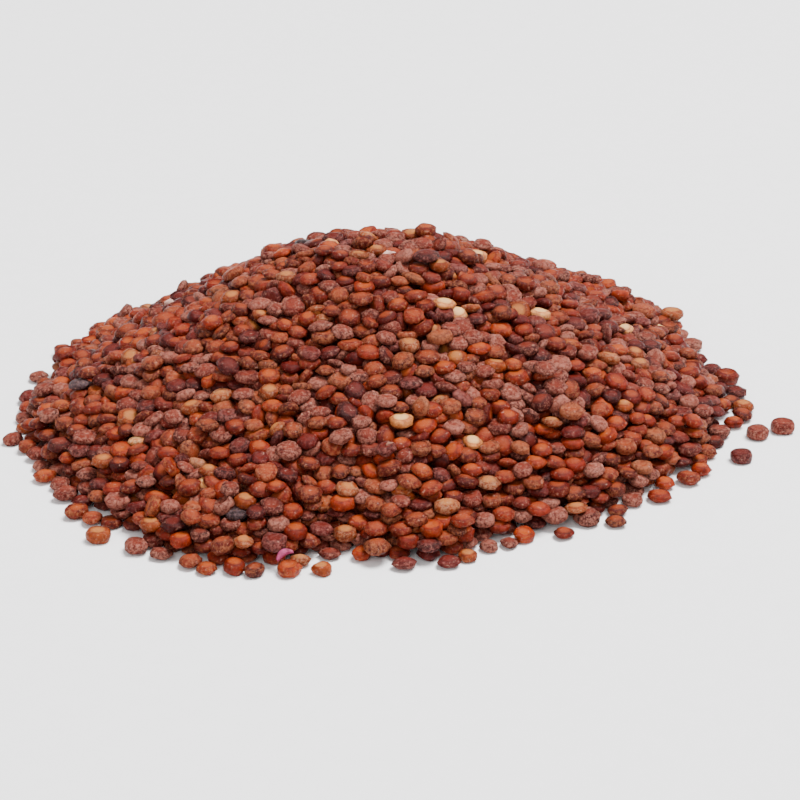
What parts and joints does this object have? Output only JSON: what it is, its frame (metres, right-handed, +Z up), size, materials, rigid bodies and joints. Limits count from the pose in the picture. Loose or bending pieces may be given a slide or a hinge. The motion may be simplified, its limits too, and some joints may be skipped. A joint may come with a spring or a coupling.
{
  "type": "heap of red quinoa seeds",
  "caption": "Low rounded heap of raw red quinoa seeds as poured on a flat surface, with an uneven foot and a few seeds that rolled clear.",
  "frame": {"origin": "middle of the footprint of the heap and its stray seeds, on the surface that they lie on", "axes": "+X to the right as in the picture, +Y away from the camera, +Z up"},
  "size_m": [0.0704, 0.0646, 0.0168],
  "materials": {
    "quinoa_heap": "satin red-brown seed hulls",
    "stray_seeds": "satin red-brown seed hulls"
  },
  "bodies": {
    "root": {"quinoa_heap": "quinoa_heap", "stray_seed_right_near": "stray_seeds", "stray_seed_right_far": "stray_seeds", "stray_seed_right_front": "stray_seeds", "stray_seed_left_front": "stray_seeds", "stray_seed_front": "stray_seeds"}
  },
  "joints": []
}
